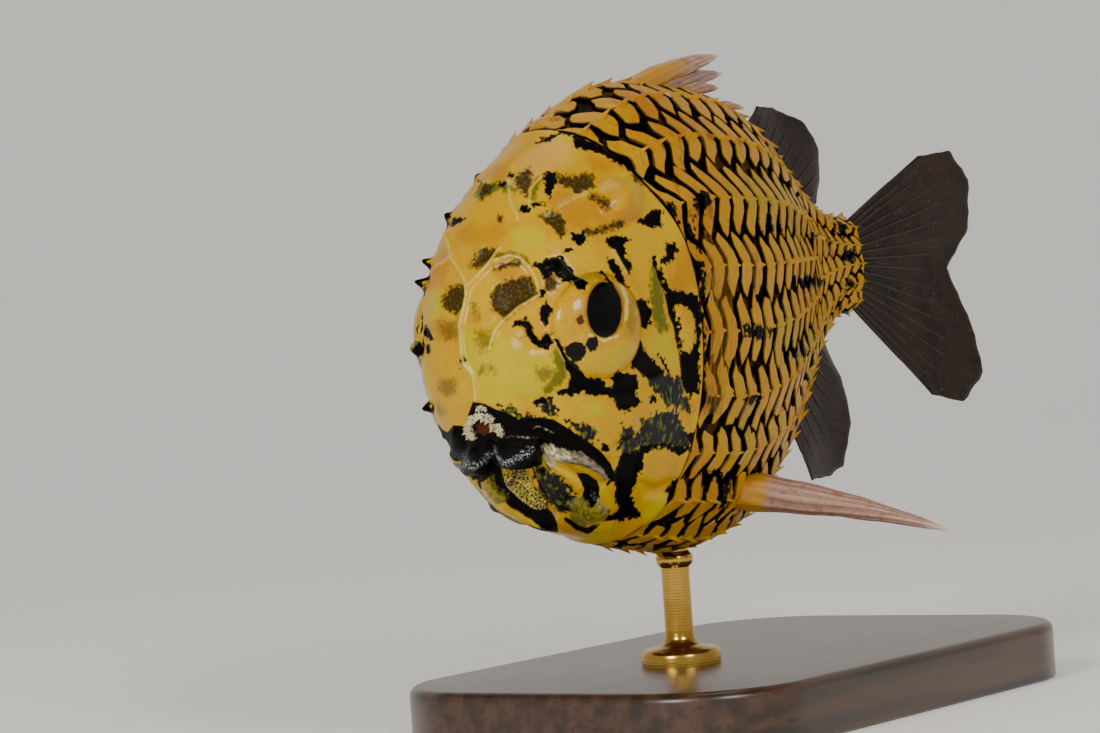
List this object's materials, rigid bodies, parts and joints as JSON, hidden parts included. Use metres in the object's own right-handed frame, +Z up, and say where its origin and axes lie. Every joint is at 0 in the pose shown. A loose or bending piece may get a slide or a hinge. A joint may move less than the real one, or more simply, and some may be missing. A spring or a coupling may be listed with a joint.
{
  "type": "pineapplefish",
  "caption": "Life-size museum model of a young pineapplefish with armour of keeled scutes, spread fins and spines, on a short rod over a flat base.",
  "frame": {"origin": "middle of the underside of the stand's base", "axes": "+Z up, snout towards -X, the fish's left side towards -Y"},
  "size_m": [0.075, 0.0418, 0.0573],
  "materials": {
    "skin": "painted and varnished cast skin, golden yellow with black blotches",
    "scutes": "painted cast scutes, orange yellow over black skin",
    "eye": "polished cast eye, black pupil in a golden iris",
    "fin": "thin dark brown cast membrane over rays",
    "spine": "fibrous pinkish grey spine",
    "base": "black stained wood under satin varnish",
    "rod": "drawn brass rod, brushed"
  },
  "bodies": {
    "root": {"head": "skin", "lower_jaw": "skin", "trunk": "scutes", "tail": "scutes", "eye_left": "eye", "eye_right": "eye", "soft_dorsal_fin": "fin", "anal_fin": "fin", "caudal_fin": "fin", "pectoral_fin_left": "fin", "pectoral_fin_right": "fin", "pelvic_fin_left": "spine", "pelvic_fin_right": "spine", "stand_base": "base", "stand_rod": "rod"}
  },
  "joints": []
}
